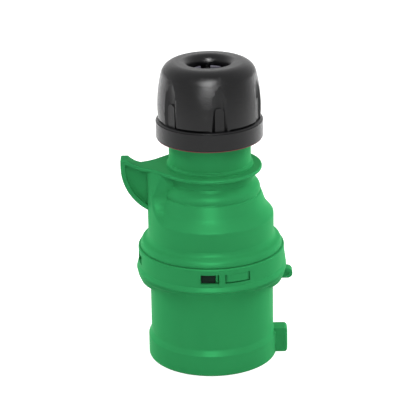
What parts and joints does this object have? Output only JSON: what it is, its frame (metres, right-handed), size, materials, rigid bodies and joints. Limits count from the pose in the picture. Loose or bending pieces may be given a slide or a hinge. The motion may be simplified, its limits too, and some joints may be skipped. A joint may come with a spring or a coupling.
{
  "type": "industrial power plug",
  "caption": "Green industrial power plug with a keyed round collar, a finger hook and a black screwed cable gland, standing on its open collar.",
  "frame": {"origin": "centre of the collar's rim, on which the plug stands", "axes": "+Z along the plug's axis to the cable gland; +X to the key on the collar; -X to the finger hook; -Y is the side that faces the picture"},
  "size_m": [0.0742, 0.0638, 0.1344],
  "materials": {
    "green_shell": "satin moulded",
    "black_plastic": "fine grain",
    "carrier_plastic": "moulded",
    "cage_plastic": "moulded",
    "seal_rubber": "matte",
    "red_ring": "moulded",
    "plated_brass": "nickel plated",
    "plated_steel": "zinc plated"
  },
  "bodies": {
    "shell": {"front_housing": "green_shell", "rear_housing": "green_shell", "housing_seal": "seal_rubber", "contact_carrier": "carrier_plastic", "carrier_cover": "carrier_plastic", "carrier_screw": "plated_steel", "pin_earth": "plated_brass", "pin_l1": "plated_brass", "pin_l2": "plated_brass", "pin_l3": "plated_brass", "pin_n": "plated_brass", "clamp_cage": "cage_plastic", "cable_grommet": "seal_rubber", "terminal_screw_earth": "plated_steel", "terminal_screw_l1": "plated_steel", "terminal_screw_l2": "plated_steel", "terminal_screw_l3": "plated_steel", "terminal_screw_n": "plated_steel", "clamp_plate_earth": "plated_steel", "clamp_plate_l1": "plated_steel", "clamp_plate_l2": "plated_steel", "clamp_plate_l3": "plated_steel", "clamp_plate_n": "plated_steel"},
    "thrust": {"thrust_ring": "black_plastic"},
    "nut": {"gland_nut": "black_plastic", "nut_edge_ring": "red_ring"}
  },
  "joints": [
    {"name": "nut_travel", "type": "slide", "parent": "shell", "child": "thrust", "axis": [0, 0, 1], "range_m": [0, 0.009]},
    {"name": "nut_turn", "type": "hinge", "parent": "thrust", "child": "nut", "pos_m": [0, 0, 0.115], "axis": [0, 0, 1], "range_deg": [0, 1080]}
  ],
  "couplings": [
    {"joint": "nut_travel", "follows": "nut_turn", "m_per_rad": 0.00047746}
  ]
}
